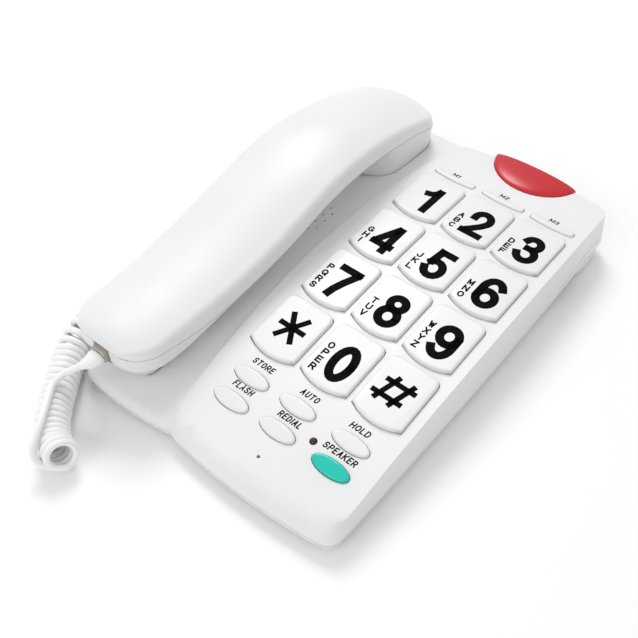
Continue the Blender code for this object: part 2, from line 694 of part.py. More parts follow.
def base_electronics():
    membrane_bottom, membrane_top = -7.8, -6.8
    sheet = side_profile("keypad_membrane", lambda y: crown_z(y, -membrane_top),
                         lambda y: crown_z(y, -membrane_bottom))
    combine(sheet, box("membrane_area", (82.0, 181.0, 60.0), (25.3, -1.5, 20.0)), "INTERSECT")
    for name, x, y in list(key_spots()) + list(button_spots()) + list(memory_spots()):
        small = not name.startswith("key_")
        dome = turned_dome(name + "_dome", 1.8 if small else 3.6, membrane_top)
        combine(sheet, seat(dome, x, y), "UNION")
    combine(sheet, box("led_slot", (5.0, 5.0, 60.0), (*LED_SPOT, 20.0)))
    keep_as_part(sheet, RUBBER)

    board_tilt = math.atan2(crown_z(72.0) - crown_z(-88.0), 160.0)
    board = box("main_circuit_board", (84.0, 174.0, 1.6), (25.3, -4.0, 12.6), BOARD)
    board.rotation_euler = (board_tilt, 0, 0)

    speaker = ((0, 0.0), (14.5, 0.0), (14.5, -2.2), (8.0, -7.0), (8.0, -10.0), (0, -10.0))
    turned("loudspeaker", speaker, (*SPEAKER_SPOT, 20.0), BLACK, 20)
    turned("base_microphone", ((0, 2.4), (3.0, 2.4), (3.0, -2.4), (0, -2.4)),
           (BASE_MIC_SPOT[0], BASE_MIC_SPOT[1], 9.2), STEEL, 12)

    hook_top = min(z for _, _, z in half_section(HOOK_SPOT[1], 0.0, False)) - 0.7
    profile = ((0, hook_top), (HOOK_RADIUS - 1.2, hook_top), (HOOK_RADIUS, hook_top - 1.0),
               (HOOK_RADIUS, 15.2), (HOOK_RADIUS + 2.0, 15.2), (HOOK_RADIUS + 2.0, 14.0), (0, 14.0))
    turned("hook_plunger", profile, (*HOOK_SPOT, 0), WHITE, 16)
    box("hook_switch", (12.0, 9.0, 3.2), (*HOOK_SPOT, 12.0), BLACK)

    x, y, z = LINE_JACK
    jack = box("line_jack", (12.8, 13.0, 10.8), (x, y, z), BLACK)
    combine(jack, box("line_jack_cavity", (10.4, 13.0, 7.6), (x, y + 2.4, z)))
    x, y, z = CORD_JACK
    jack = box("cord_jack", (12.4, 11.6, 9.6), (x, y, z), BLACK)
    combine(jack, box("cord_jack_cavity", (12.4, 8.4, 6.8), (x - 2.0, y, z)))


def turned_dome(name, radius, base):
    """A rubber dome that stands on the membrane, just clear of a fully pressed key."""
    top = KEY_STEM_Z - TRAVEL - GAP
    bm = bmesh.new()
    bmesh.ops.create_cone(bm, cap_ends=True, segments=8, radius1=radius * MM,
                          radius2=radius * 0.6 * MM, depth=(top - base + 0.4) * MM)
    bmesh.ops.translate(bm, vec=(0, 0, (top + base - 0.4) / 2 * MM), verts=bm.verts)
    return from_bmesh(name, bm)


# Handset pieces

def handset():
    outer = handset_shell("handset_outer_shell", True)
    inner = handset_shell("handset_inner_shell", False)
    combine(inner, box("jack_notch", *JACK_NOTCH))
    for number, y in enumerate((-36.0, 24.0), 1):
        under = height_on(UNDER_LINE, y)
        top = height_on(TOP_LINE, y)
        spot = (HANDSET_X, y)
        boss = cylinder(f"handset_boss_{number}", 3.4, under + 3.7, top + 2.9, spot, segments=10)
        combine(outer, boss, "UNION")
        pilot = cylinder(f"handset_pilot_{number}", 1.2, under, under + 10.0, spot, segments=8)
        combine(outer, pilot)
        pad = cylinder(f"handset_pad_{number}", 4.6, under + 0.8, under + 3.4, spot)
        combine(inner, pad, "UNION")
        hole = cylinder(f"handset_hole_{number}", 1.6, under - 4.0, under + 5.0, spot, segments=8)
        combine(inner, hole)
        sink = cylinder(f"handset_sink_{number}", 3.0, under - 4.0, under + 1.8, spot)
        combine(inner, sink)
        profile = ((0, 9.0), (0.9, 8.2), (0.9, 1.5), (2.6, 1.5), (2.6, 0.6), (2.2, 0.3),
                   (0.9, 0.3), (0.9, 0.9), (0, 0.9))
        turned(f"handset_screw_{number}", profile, (HANDSET_X, y, under), STEEL, 10)

    jack = box("handset_jack", (11.0, 9.6, 8.0), HANDSET_JACK, BLACK)
    x, y, z = HANDSET_JACK
    combine(jack, box("handset_jack_cavity", (8.4, 10.0, 6.6), (x, y - 1.6, z)))
    receiver = ((0, 7.4), (8.0, 7.4), (8.0, 4.4), (11.0, 3.4), (11.0, 0.0), (0, 0.0))
    turned("earpiece_receiver", receiver, (HANDSET_X, 86.0, 25.8), BLACK, 20)
    turned("handset_microphone", ((0, 5.0), (4.8, 5.0), (4.8, 0.0), (0, 0.0)),
           (HANDSET_X, -90.0, 18.6), STEEL, 14)
    box("handset_weight", (18.0, 22.0, 4.6), (HANDSET_X, 44.0, 50.0), STEEL)


# Cord

def plug(name, size, centre):
    body = box(name, size, centre, CLEAR)
    bevel = body.modifiers.new("edge", "BEVEL")
    bevel.width = 0.5 * MM
    bevel.segments = 1
    return body


def boot():
    """The moulded strain relief, tapering along the lead from the plug's width to the cord's."""
    rings = []
    for share, half_w, half_h in BOOT_STATIONS:
        centre = along(HANDSET_LEAD, share)
        heading = along(HANDSET_LEAD, share + 0.01) - along(HANDSET_LEAD, max(share - 0.01, 0.0))
        side = heading.cross(Vector((0, 0, 1))).normalized()
        up = side.cross(heading).normalized()
        rings.append([tuple(centre + side * x + up * z) for x, z in ellipse(half_w, half_h, 12)])
    return loft("cord_boot", rings)


def cord():
    x, y, z = HANDSET_JACK
    plug("cord_handset_plug", (7.6, 13.2, 6.0), (x, y - 4.2, z))
    x, y, z = CORD_JACK
    plug("cord_base_plug", (14.4, 7.6, 6.0), (-71.7, y, z))
    tube("cord_coil", COIL_ROUTE, COIL_RADIUS, CORD, 30)
    lead = tube("cord_handset_lead", HANDSET_LEAD, CORD_RADIUS, CORD, 16)
    combine(lead, boot(), "UNION")
    tube("cord_base_lead", BASE_LEAD, CORD_RADIUS, CORD, 8)


def centre_on_origin():
    for obj in bpy.data.objects:
        obj.location.x += CENTRE_SHIFT * MM


base_housing()
base_bottom_cover()
desk_stand()
feet_and_screws()
keys_and_buttons()
lens_and_lamps()
base_electronics()
handset()
cord()
centre_on_origin()
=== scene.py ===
"""Looks of a corded desk telephone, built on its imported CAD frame.

Print and shading lengths are in millimetres, turned into metres by MM. Positions come from
the frame's boxes. The cord's route is the one that the CAD solids follow, apart from the
last few millimetres of each lead, where it runs into the turns of the coil.
"""
import json
import math

import bmesh
import bpy
import numpy as np
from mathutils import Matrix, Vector
from mathutils.bvhtree import BVHTree
from mathutils.kdtree import KDTree


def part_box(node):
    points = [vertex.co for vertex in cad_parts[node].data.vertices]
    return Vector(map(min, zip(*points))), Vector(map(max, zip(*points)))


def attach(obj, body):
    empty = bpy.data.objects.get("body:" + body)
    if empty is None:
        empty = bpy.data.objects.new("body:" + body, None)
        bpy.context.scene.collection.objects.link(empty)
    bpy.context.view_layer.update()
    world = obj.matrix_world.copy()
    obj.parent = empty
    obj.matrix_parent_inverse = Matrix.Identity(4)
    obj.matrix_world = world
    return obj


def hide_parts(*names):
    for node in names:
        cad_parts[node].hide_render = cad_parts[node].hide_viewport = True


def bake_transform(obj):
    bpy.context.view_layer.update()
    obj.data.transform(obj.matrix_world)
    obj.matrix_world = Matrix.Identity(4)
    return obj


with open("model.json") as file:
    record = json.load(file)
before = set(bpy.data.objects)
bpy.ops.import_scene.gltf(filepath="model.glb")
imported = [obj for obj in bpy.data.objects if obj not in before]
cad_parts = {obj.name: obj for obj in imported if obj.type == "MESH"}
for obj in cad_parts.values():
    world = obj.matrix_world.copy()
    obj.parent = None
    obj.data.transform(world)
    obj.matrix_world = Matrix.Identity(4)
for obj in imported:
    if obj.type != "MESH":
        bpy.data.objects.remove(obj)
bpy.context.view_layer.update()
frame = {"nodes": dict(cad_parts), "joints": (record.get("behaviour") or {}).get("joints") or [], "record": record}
NODES = frame["nodes"]
BODY_OF = {node: body for body, nodes in frame["record"]["behaviour"]["bodies"].items()
           for node in nodes}
MM = 0.001

# Camera, looking down from the front right, in millimetres and radians
CAMERA_PLACE = (164.1, -226.8, 320.5)
CAMERA_ELEVATION = math.radians(49.785)
CAMERA_AZIMUTH = math.radians(39.38)
CAMERA_LENS = 49.14

# Cord, in metres
CORD_RADIUS = 1.6 * MM
COIL_RADIUS = 7.7 * MM
COIL_PITCH = 3.36 * MM
COIL_Z = 0.0078
STEPS_PER_TURN = 20
# How far along the coil a few turns stand apart, the room they take, and how many they are
OPEN_TURNS = (0.1065, 0.0056)
OPEN_OVER = 3.5
# Shares of a turn at which the coil starts and ends
COIL_PHASES = (0.15, 0.5)
COIL_ROUTE = ((-0.0862, 0.006, COIL_Z), (-0.0872, -0.018, COIL_Z), (-0.0876, -0.045, COIL_Z),
              (-0.0872, -0.072, COIL_Z), (-0.0854, -0.092, COIL_Z), (-0.0806, -0.1054, COIL_Z),
              (-0.0740, -0.1154, COIL_Z), (-0.0658, -0.1266, COIL_Z),
              (-0.0564, -0.1380, COIL_Z), (-0.0460, -0.1456, 0.0086),
              (-0.0362, -0.1486, 0.0112))
HANDSET_LEAD = ((-0.0502, -0.1125, 0.0312), (-0.0503, -0.1152, 0.0310),
                (-0.0536, -0.1184, 0.0280), (-0.0582, -0.1214, 0.0238),
                (-0.0628, -0.1244, 0.0194), (-0.0632, -0.1296, 0.0176),
                (-0.0592, -0.1354, 0.0176), (-0.0553, -0.1406, 0.0177),
                (-0.0509, -0.1468, 0.0176), (-0.0472, -0.1536, 0.0154),
                (-0.0448, -0.1562, 0.0116), (-0.0408, -0.1550, 0.0070))
AXIS_STEP = 0.5 * MM
ROUTE_STEP = 0.0008
CORD_STEP = 0.0012
TUBE_SIDES = 10
BOOT_SIDES = 20
# Boot over the handset's lead: (axis steps along it, half width, half height in mm)
BOOT_STATIONS = ((0, 4.2, 2.9), (3, 4.3, 2.85), (8, 3.5, 2.5), (13, 2.5, 2.1), (19, 1.7, 1.7))
BASE_LEAD = ((-0.0768, 0.028, 0.014), (-0.0796, 0.0278, 0.014), (-0.0832, 0.0252, 0.014),
             (-0.0856, 0.020, 0.014), (-0.0862, 0.0136, 0.014))

# Soft shading: how far it reaches on these pieces in millimetres, and the widest turn it spans
ROUNDED_BY = {"base_housing": 2.6, "base_bottom_cover": 2.0, "desk_stand": 2.0}
WIDEST_TURN = math.radians(68)
LONGEST_EDGE = 5 * MM
REFINE_ROUNDS = 7
FLAT_ANGLE = 0.002
WELD = 0.000002
OWN_LOOKS = {"speaker_led": "lamp"}

# Print, in millimetres
DIGIT_SIZE = (12.4, 20.2)
DIGIT_STROKE = 4.0
DIGIT_SHIFT = (1.9, -1.9)
LETTER_HEIGHT = 3.6
LETTER_WIDTH = 3.0
LETTER_STROKE = 0.8
LETTER_PITCH = 4.35
LETTER_X = -7.9
LABEL_HEIGHT = 3.1
MEMORY_LABEL_HEIGHT = 2.5
LABEL_GAP = 0.42
LABEL_STROKE = 0.58
LABEL_SLANT = 0.2
LETTER_SHARES = {"I": 0.3, "1": 0.6, "M": 1.25, "L": 0.85, "F": 0.85, "E": 0.9}
INK_HEIGHT = 0.03
INK_WELD = 0.0002
CORNER_ANGLE = math.radians(50)
# Least cosine used for a mitre, which keeps sharp corners from growing spikes
MITRE_LIMIT = 0.7

# Sign keys: sign, centre, outer size and stroke
SIGNS = {"star": ("*", (0.4, 0.4), (14.3, 15.5), 2.7), "hash": ("#", (-0.8, 0.1), (17.5, 14.6), 2.5)}
KEY_LETTERS = {"2": "ABC", "3": "DEF", "4": "GHI", "5": "JKL", "6": "MNO", "7": "PQRS",
               "8": "TUV", "9": "WXYZ", "0": "OPER"}
# Each label's text, its lower edge's place from its button's middle, and its length
BUTTON_LABELS = {"button_store": ("STORE", 0.2, 5.7, 11.2), "button_auto": ("AUTO", 0.9, 5.2, 9.2),
                 "button_hold": ("HOLD", -0.6, 5.2, 9.7),
                 "button_flash": ("FLASH", 0.4, 5.3, 10.6),
                 "button_redial": ("REDIAL", 1.1, 4.8, 11.7),
                 "button_speakerphone": ("SPEAKER", -0.5, 4.9, 16.4),
                 "memory_key_1": ("M1", -0.6, 2.3, 4.2), "memory_key_2": ("M2", -1.1, 3.0, 4.9),
                 "memory_key_3": ("M3", -0.5, 2.9, 5.0)}

# Light: each light's name, place and size in metres, and power in watts
LIGHTS = (("key_light", (-0.7, 0.7, 1.3), 0.7, 11), ("fill_light", (-0.2, -1.2, 0.8), 1.2, 5))
LIGHT_TARGET = (0, 0, 0.02)
SKY_COLOUR = (0.99, 0.995, 1.0, 1)
SKY_STRENGTH = 0.68


# Camera

def add_camera():
    camera = bpy.data.objects.new("camera", bpy.data.cameras.new("camera"))
    camera.data.lens = CAMERA_LENS
    camera.data.clip_end = 20
    camera.location = Vector(CAMERA_PLACE) * MM
    camera.rotation_euler = (math.pi / 2 - CAMERA_ELEVATION, 0, CAMERA_AZIMUTH)
    bpy.context.scene.collection.objects.link(camera)
    bpy.context.scene.camera = camera


# Shader helpers

def new_material(name, colour, roughness, **settings):
    """A Principled material; settings are its other sockets by name."""
    made = bpy.data.materials.new(name)
    made.use_nodes = True
    shader = made.node_tree.nodes["Principled BSDF"]
    shader.inputs["Base Color"].default_value = (*colour, 1)
    shader.inputs["Roughness"].default_value = roughness
    for socket, value in settings.items():
        shader.inputs[socket.replace("_", " ")].default_value = value
    return made


def add_node(made, kind, **inputs):
    node = made.node_tree.nodes.new(kind)
    for socket, value in inputs.items():
        node.inputs[socket].default_value = value
    return node


def noise(made, scale, detail=3.0):
    """Noise in the object's own space, scale in cells per metre."""
    place = add_node(made, "ShaderNodeTexCoord")
    texture = add_node(made, "ShaderNodeTexNoise", Scale=scale, Detail=detail)
    made.node_tree.links.new(place.outputs["Object"], texture.inputs["Vector"])
    return texture.outputs["Fac"]


def vary(made, socket, source, low, high):
    """Drives a Principled number between two values."""
    spread = add_node(made, "ShaderNodeMapRange")
    spread.inputs["From Min"].default_value = 0.3
    spread.inputs["From Max"].default_value = 0.7
    spread.inputs["To Min"].default_value = low
    spread.inputs["To Max"].default_value = high
    made.node_tree.links.new(source, spread.inputs["Value"])
    made.node_tree.links.new(spread.outputs["Result"],
                             made.node_tree.nodes["Principled BSDF"].inputs[socket])


def vary_colour(made, source, dark, light):
    """Drives the base colour between two near shades."""
    ramp = made.node_tree.nodes.new("ShaderNodeValToRGB")
    ramp.color_ramp.elements[0].position = 0.35
    ramp.color_ramp.elements[1].position = 0.65
    ramp.color_ramp.elements[0].color = (*dark, 1)
    ramp.color_ramp.elements[1].color = (*light, 1)
    made.node_tree.links.new(source, ramp.inputs["Fac"])
    made.node_tree.links.new(ramp.outputs["Color"],
                             made.node_tree.nodes["Principled BSDF"].inputs["Base Color"])


def bump(made, source, strength, distance):
    relief = add_node(made, "ShaderNodeBump", Strength=strength, Distance=distance)
    made.node_tree.links.new(source, relief.inputs["Height"])
    made.node_tree.links.new(relief.outputs["Normal"],
                             made.node_tree.nodes["Principled BSDF"].inputs["Normal"])


# Materials

def moulded(name, dark, light, roughness, grain=2600, depth=0.00002, **settings):
    """Injection-moulded plastic: fine satin grain, slow changes of shade and gloss."""
    made = new_material(name, light, roughness, **settings)
    vary_colour(made, noise(made, 18, 2.0), dark, light)
    vary(made, "Roughness", noise(made, 60, 4.0), roughness - 0.05, roughness + 0.07)
    bump(made, noise(made, grain, 2.0), 0.12, depth)
    return made


def lens_plastic():
    """Translucent red plastic with fine upright ribs on its inner side."""
    made = new_material("lens_red", (0.55, 0.015, 0.022), 0.27, IOR=1.49)
    place = add_node(made, "ShaderNodeTexCoord")
    ribs = add_node(made, "ShaderNodeTexWave", Scale=300.0, Distortion=1.6, Detail=2.0)
    ribs.bands_direction = "X"
    made.node_tree.links.new(place.outputs["Object"], ribs.inputs["Vector"])
    vary_colour(made, ribs.outputs["Fac"], (0.48, 0.010, 0.018), (0.60, 0.018, 0.026))
    bump(made, ribs.outputs["Fac"], 0.2, 0.00008)
    return made


def metal(name, colour):
    made = new_material(name, colour, 0.32, Metallic=1.0)
    vary(made, "Roughness", noise(made, 900, 5.0), 0.25, 0.45)
    bump(made, noise(made, 1500, 2.0), 0.1, 0.00003)
    return made


def ink(name, colour):
    """Pad-printed ink, slightly uneven."""
    made = new_material(name, colour, 0.6, Specular_IOR_Level=0.04)
    vary(made, "Roughness", noise(made, 700, 3.0), 0.54, 0.7)
    vary_colour(made, noise(made, 300, 3.0), colour, [c + 0.002 for c in colour])
    return made


MATERIALS = {
    "casing": moulded("casing_white", (0.775, 0.777, 0.781), (0.80, 0.802, 0.805), 0.38),
    "key_caps": moulded("key_white", (0.76, 0.761, 0.765), (0.785, 0.786, 0.789), 0.34),
    "teal_button": moulded("button_teal", (0.001, 0.50, 0.40), (0.002, 0.57, 0.46), 0.2,
                           Coat_Weight=0.2),
    "red_lens": lens_plastic(),
    "rubber_feet": moulded("foot_rubber", (0.03, 0.03, 0.032), (0.05, 0.05, 0.052), 0.75,
                           1800, 0.00006),
    "membrane": moulded("membrane_silicone", (0.30, 0.31, 0.32), (0.36, 0.37, 0.38), 0.6),
    "circuit_board": moulded("board_green", (0.012, 0.10, 0.03), (0.02, 0.15, 0.05), 0.35),
    "black_parts": moulded("black_plastic", (0.012, 0.012, 0.013), (0.02, 0.02, 0.022), 0.42),
    "metal": metal("zinc_steel", (0.60, 0.60, 0.61)),
    "clear_plug": moulded("plug_clear", (0.74, 0.70, 0.60), (0.82, 0.79, 0.70), 0.14,
                          IOR=1.49, Transmission_Weight=0.35),
    "cord": moulded("cord_jacket", (0.87, 0.866, 0.856), (0.91, 0.907, 0.898), 0.42, 1400),
    "lamp": moulded("lamp_red", (0.05, 0.004, 0.006), (0.09, 0.006, 0.009), 0.18, IOR=1.49),
    "ink": ink("print_black", (0.0015, 0.0015, 0.0018)),
}


# Smooth lines through listed points

def smooth_line(points, step):
    """Points along a Catmull-Rom curve, about one step apart."""
    points = [Vector(p) for p in points]
    ends = [2 * points[0] - points[1]] + points + [2 * points[-1] - points[-2]]
    line = []
    for a, b, c, d in zip(ends, ends[1:], ends[2:], ends[3:]):
        pieces = max(1, round((c - b).length / step))
        for k in range(pieces):
            t = k / pieces
            line.append(0.5 * (2 * b + (c - a) * t + (2 * a - 5 * b + 4 * c - d) * t**2
                               + (3 * b - a - 3 * c + d) * t**3))
    return line + [points[-1]]


def even_steps(points, step):
    """The same route with its points about one step apart."""
    line = [points[0]]
    left = step
    for a, b in zip(points, points[1:]):
        span = (b - a).length
        while left < span:
            line.append(a.lerp(b, left / span))
            left += step
        left -= span
    return line


def line_length(line):
    return sum((b - a).length for a, b in zip(line, line[1:]))


def side_vectors(line, start):
    """A direction square to the line at each point, carried along without twist."""
    sides = []
    side = Vector(start)
    for k, point in enumerate(line):
        ahead = line[min(k + 1, len(line) - 1)] - line[max(k - 1, 0)]
        ahead.normalize()
        side = (side - ahead * side.dot(ahead)).normalized()
        sides.append((ahead.copy(), side.copy()))
    return sides


def add_ring(bm, centre, wide, high, sides):
    """An oval of vertices around centre, wide and high being its half axes."""
    turns = [2 * math.pi * k / sides for k in range(sides)]
    return [bm.verts.new(centre + (wide * math.cos(a) + high * math.sin(a))) for a in turns]


def join_rings(bm, rings):
    """Walls from ring to ring, and a face over each end."""
    sides = len(rings[0])
    for low, high in zip(rings, rings[1:]):
        for k in range(sides):
            bm.faces.new((low[k], low[(k + 1) % sides], high[(k + 1) % sides], high[k]))
    bm.faces.new(rings[0][::-1])
    bm.faces.new(rings[-1])


def tube_mesh(name, line, radius):
    """A round tube along the line with closed ends."""
    bm = bmesh.new()
    frames = side_vectors(line, (0.1, 0.2, 1.0))
    join_rings(bm, [add_ring(bm, point, radius * side, radius * ahead.cross(side), TUBE_SIDES)
                    for point, (ahead, side) in zip(line, frames)])
    return finish_mesh(name, bm)


def finish_mesh(name, bm, angle=40):
    bmesh.ops.recalc_face_normals(bm, faces=bm.faces)
    mesh = bpy.data.meshes.new(name)
    bm.to_mesh(mesh)
    bm.free()
    mesh.shade_smooth()
    mesh.set_sharp_from_angle(angle=math.radians(angle))
    obj = bpy.data.objects.new(name, mesh)
    bpy.context.scene.collection.objects.link(obj)
    return obj


def dress(obj, slot):
    obj.data.materials.clear()
    obj.data.materials.append(MATERIALS[slot])
    return obj


# Cord

def coil_line():
    """The helix of the coiled stretch, from the base's end to the handset's."""
    axis = smooth_line(COIL_ROUTE, AXIS_STEP)
    frames = side_vectors(axis, (0.0, 0.0, 1.0))
    radius = COIL_RADIUS - CORD_RADIUS
    length = line_length(axis)
    open_at, open_by = (distance / length for distance in OPEN_TURNS)
    turns = round(length * (1 - open_by) / COIL_PITCH) + COIL_PHASES[1] - COIL_PHASES[0]
    steps = round(STEPS_PER_TURN * turns)
    line = []
    for k in range(steps + 1):
        share = k / steps
        eased = 1 - (1 - min(max((share - open_at) * turns / OPEN_OVER, 0.0), 1.0)) ** 2
        spot = (share * (1 - open_by) + eased * open_by) * (len(axis) - 1)
        low = int(spot)
        centre = axis[low].lerp(axis[min(low + 1, len(axis) - 1)], spot - low)
        ahead, side = frames[low]
        turn = 2 * math.pi * (COIL_PHASES[0] + turns * share)
        line.append(centre + radius * (math.cos(turn) * side
                                       - math.sin(turn) * ahead.cross(side)))
    return line


def add_boot(lead):
    """The tapered strain relief over the first stretch of the handset's lead."""
    bm = bmesh.new()
    frames = side_vectors(lead, (1, 0, 0))
    rings = []
    for spot, half_w, half_h in BOOT_STATIONS:
        ahead, side = frames[spot]
        rings.append(add_ring(bm, lead[spot], side * half_w * MM,
                              ahead.cross(side) * half_h * MM, BOOT_SIDES))
    join_rings(bm, rings)
    boot = dress(finish_mesh("cord_boot", bm), "cord")
    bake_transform(boot)


def add_cord():
    """The whole handset cord: base lead, coil and handset lead in one length."""
    add_boot(smooth_line(HANDSET_LEAD, AXIS_STEP))
    route = [*BASE_LEAD, *coil_line(), *HANDSET_LEAD[::-1]]
    line = even_steps(smooth_line(route, ROUTE_STEP), CORD_STEP)
    cord = dress(tube_mesh("curly_cord", line, CORD_RADIUS), "cord")
    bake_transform(cord)
    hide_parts("cord_coil", "cord_handset_lead", "cord_base_lead")


# Casing and keys: the CAD shapes, welded so that they shade smoothly

def turn_flat_edges(bm):
    """Turns the edges between level faces, so that their triangles are less thin."""
    flat = [edge for edge in bm.edges
            if edge.is_manifold and edge.calc_face_angle() < FLAT_ANGLE]
    bmesh.ops.beautify_fill(bm, faces=bm.faces, edges=flat, method="ANGLE")


def refine(bm):
    """Splits long edges, so that shading changes only where the surface does."""
    turn_flat_edges(bm)
    for _ in range(REFINE_ROUNDS):
        long_edges = [edge for edge in bm.edges if edge.calc_length() > LONGEST_EDGE]
        bmesh.ops.subdivide_edges(bm, edges=long_edges, cuts=1)
        bmesh.ops.triangulate(bm, faces=bm.faces[:], quad_method="SHORT_EDGE")
        turn_flat_edges(bm)


def even_normals(mesh, reach):
    """Shades each corner by the faces within reach that turn little from its own."""
    normals = np.array([tuple(face.normal) for face in mesh.polygons])
    areas = np.array([face.area for face in mesh.polygons])
    tree = KDTree(len(normals))
    for face in mesh.polygons:
        tree.insert(face.center, face.index)
    tree.balance()
    corners = [[] for _ in mesh.vertices]
    for loop, vertex in enumerate(loop.vertex_index for loop in mesh.loops):
        corners[vertex].append(loop)
    shaded = np.zeros((len(mesh.loops), 3))
    for vertex in mesh.vertices:
        found = tree.find_range(vertex.co, reach)
        near = [k for _, k, _ in found]
        weights = areas[near] * [1 - distance / reach for _, _, distance in found]
        own = normals[[loop // 3 for loop in corners[vertex.index]]]
        turned_less = own @ normals[near].T > math.cos(WIDEST_TURN)
        shaded[corners[vertex.index]] = (turned_less * weights) @ normals[near] + own * 1e-9
    shaded /= np.linalg.norm(shaded, axis=1)[:, None]
    mesh.normals_split_custom_set(shaded.tolist())


def smooth_copy(node, look, angle=32):
    """A welded copy of a CAD node with soft shading, which stands for the node."""
    bm = bmesh.new()
    bm.from_mesh(NODES[node].data)
    bmesh.ops.remove_doubles(bm, verts=bm.verts, dist=WELD)
    wide = node in ROUNDED_BY
    if wide:
        refine(bm)
    obj = dress(finish_mesh(node + "_skin", bm, angle), look)
    if wide:
        even_normals(obj.data, ROUNDED_BY[node] * MM)
    else:
        normals = obj.modifiers.new("even_shading", "WEIGHTED_NORMAL")
        normals.keep_sharp = True
    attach(obj, BODY_OF[node])
    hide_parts(node)


def dress_all_nodes():
    slots = {entry["node"]: entry["material_slot"] for entry in frame["record"]["subparts"]}
    skinned = {"casing", "key_caps", "teal_button", "red_lens"}
    for node, slot in slots.items():
        if slot in skinned:
            smooth_copy(node, OWN_LOOKS.get(node, slot))
        elif not node.startswith("cord_") or slot == "clear_plug":
            dress(NODES[node], slot)


# Print: each glyph is a list of strokes in a unit box, and a few strokes reach just past it

def arc(x, y, half_x, half_y, start, end, steps=14):
    turns = [math.radians(start + (end - start) * k / steps) for k in range(steps + 1)]
    return [(x + half_x * math.cos(a), y + half_y * math.sin(a)) for a in turns]


def ring(x, y, half_x, half_y):
    return arc(x, y, half_x, half_y, 0, 360, 24)


def turned_over(strokes):
    return [[(1 - x, 1 - y) for x, y in stroke] for stroke in strokes]


SIX = [ring(0.5, 0.28, 0.5, 0.28), arc(0.52, 0.62, 0.52, 0.38, 32, 180) + [(0.0, 0.28)]]
BOWL_P = [(0, 1)] + arc(0.6, 0.73, 0.4, 0.27, 90, -90) + [(0, 0.46)]
GLYPHS = {
    "0": [ring(0.5, 0.5, 0.5, 0.5)],
    "1": [[(0.67, 0), (0.67, 1)], [(0.12, 0.74), (0.36, 0.78), (0.55, 0.88), (0.62, 0.98)]],
    "2": [arc(0.5, 0.735, 0.47, 0.265, 188, -30) + [(0.7, 0.42), (0.34, 0.2), (0.08, 0.05)],
          [(0, 0), (1, 0)]],
    "3": [arc(0.46, 0.77, 0.43, 0.23, 165, -90) + [(0.36, 0.54)],
          [(0.36, 0.54)] + arc(0.48, 0.27, 0.5, 0.27, 90, -165)],
    "4": [[(0.8, 0), (0.8, 1)], [(0, 0.216), (1, 0.216)], [(0.03, 0.27), (0.68, 0.98)]],
    "5": [[(0.93, 1), (0.24, 1), (0.12, 0.53)], arc(0.48, 0.3, 0.5, 0.3, 138, -165)],
    "6": SIX,
    "7": [[(0, 1), (1, 1)], [(0.97, 0.93), (0.6, 0.5), (0.4, 0.2), (0.33, 0.0)]],
    "8": [ring(0.5, 0.78, 0.43, 0.22), ring(0.5, 0.28, 0.5, 0.28)],
    "9": turned_over(SIX),
    "*": [[(0, 0.5), (1, 0.5)], [(0.16, 0), (0.84, 1)], [(0.16, 1), (0.84, 0)]],
    "#": [[(0.15, 0.81), (1, 0.81)], [(0, 0.18), (0.86, 0.18)], [(0.15, 0), (0.39, 1)],
          [(0.64, 0), (0.89, 1)]],
    "A": [[(0, 0), (0.5, 1), (1, 0)], [(0.22, 0.34), (0.78, 0.34)]],
    "B": [[(0, 0), (0, 1)], [(0, 1)] + arc(0.6, 0.76, 0.36, 0.24, 90, -90) + [(0, 0.52)],
          [(0, 0.52)] + arc(0.6, 0.26, 0.4, 0.26, 90, -90) + [(0, 0)]],
    "C": [arc(0.52, 0.5, 0.52, 0.5, 50, 310)],
    "D": [[(0, 0), (0, 1)], [(0, 1)] + arc(0.45, 0.5, 0.55, 0.5, 90, -90) + [(0, 0)]],
    "E": [[(1, 1), (0, 1), (0, 0), (1, 0)], [(0, 0.52), (0.85, 0.52)]],
    "F": [[(1, 1), (0, 1), (0, 0)], [(0, 0.52), (0.8, 0.52)]],
    "G": [arc(0.52, 0.5, 0.52, 0.5, 50, 335), [(1, 0.12), (1, 0.45), (0.62, 0.45)]],
    "H": [[(0, 0), (0, 1)], [(1, 0), (1, 1)], [(0, 0.5), (1, 0.5)]],
    "I": [[(0.5, 0), (0.5, 1)]],
    "J": [[(0.85, 1), (0.85, 0.3)] + arc(0.43, 0.3, 0.42, 0.3, 0, -170)],
    "K": [[(0, 0), (0, 1)], [(1, 1), (0.05, 0.4)], [(0.32, 0.6), (1, 0)]],
    "L": [[(0, 1), (0, 0), (1, 0)]],
    "M": [[(0, 0), (0, 1), (0.5, 0.2), (1, 1), (1, 0)]],
    "N": [[(0, 0), (0, 1), (1, 0), (1, 1)]],
    "O": [ring(0.5, 0.5, 0.52, 0.5)],
    "P": [[(0, 0), (0, 1)], BOWL_P],
    "Q": [ring(0.5, 0.5, 0.52, 0.5), [(0.6, 0.3), (1, -0.05)]],
    "R": [[(0, 0), (0, 1)], BOWL_P, [(0.5, 0.46), (1, 0)]],
    "S": [arc(0.5, 0.75, 0.46, 0.25, 20, 270) + arc(0.5, 0.25, 0.5, 0.25, 90, -160)],
    "T": [[(0, 1), (1, 1)], [(0.5, 0), (0.5, 1)]],
    "U": [[(0, 1)] + arc(0.5, 0.33, 0.5, 0.33, 180, 360) + [(1, 1)]],
    "V": [[(0, 1), (0.5, 0), (1, 1)]],
    "W": [[(0, 1), (0.25, 0), (0.5, 0.8), (0.75, 0), (1, 1)]],
    "X": [[(0, 0), (1, 1)], [(0, 1), (1, 0)]],
    "Y": [[(0, 1), (0.5, 0.48), (1, 1)], [(0.5, 0.48), (0.5, 0)]],
    "Z": [[(0, 1), (1, 1), (0, 0), (1, 0)]],
}


